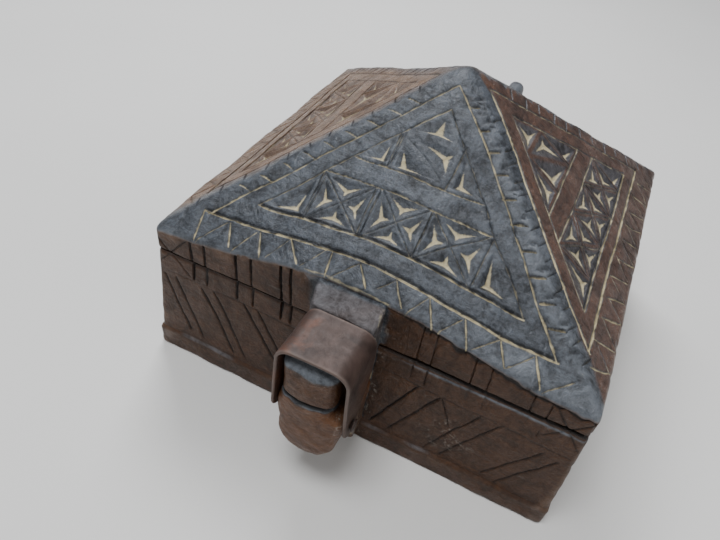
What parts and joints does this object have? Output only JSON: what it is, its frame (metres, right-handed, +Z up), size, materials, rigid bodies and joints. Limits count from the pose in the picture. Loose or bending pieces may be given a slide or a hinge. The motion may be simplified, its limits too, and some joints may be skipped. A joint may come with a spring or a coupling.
{
  "type": "bindi box",
  "caption": "Square carved wooden box with a hinged pyramid lid, a mirror and dividers inside, and an iron strap that swings over the lid's tongue to hold it shut.",
  "frame": {"origin": "middle of the ground under the box, which is the bottom centre of the bounding box", "axes": "+Z up, -Y towards the front with the iron strap, +Y towards the hinge, +X to the right seen from the front"},
  "size_m": [0.237, 0.3132, 0.1687],
  "materials": {
    "carved_wood": "old dark stained hardwood with a worn waxed sheen and chalk left in the cuts",
    "inner_wood": "plain unwaxed wood, darkened by age",
    "iron": "hand-forged sheet and wire, brown with old rust, rubbed brighter on the edges",
    "mirror": "silvered glass, a little clouded at its edges"
  },
  "bodies": {
    "box": {"box_body": "carved_wood", "divider_long": "inner_wood", "divider_cross_left": "inner_wood", "divider_cross_right": "inner_wood", "hinge_pin": "iron", "hinge_washer_left": "iron", "hinge_washer_right": "iron", "strap_nail_left": "iron", "strap_nail_right": "iron"},
    "lid": {"lid": "carved_wood", "mirror": "mirror", "batten_front": "inner_wood", "batten_back": "inner_wood", "batten_left": "inner_wood", "batten_right": "inner_wood", "brad_front_left": "iron", "brad_front_right": "iron", "brad_back_left": "iron", "brad_back_right": "iron", "brad_left_front": "iron", "brad_left_back": "iron", "brad_right_front": "iron", "brad_right_back": "iron"},
    "strap": {"iron_strap": "iron"}
  },
  "joints": [
    {"name": "lid_hinge", "type": "hinge", "parent": "box", "child": "lid", "pos_m": [0.005, 0.135, 0.0745], "axis": [-1, 0, 0], "range_deg": [0, 100]},
    {"name": "strap_swing", "type": "hinge", "parent": "box", "child": "strap", "pos_m": [0, -0.1479, 0.063], "axis": [1, 0, 0], "range_deg": [0, 180]}
  ]
}
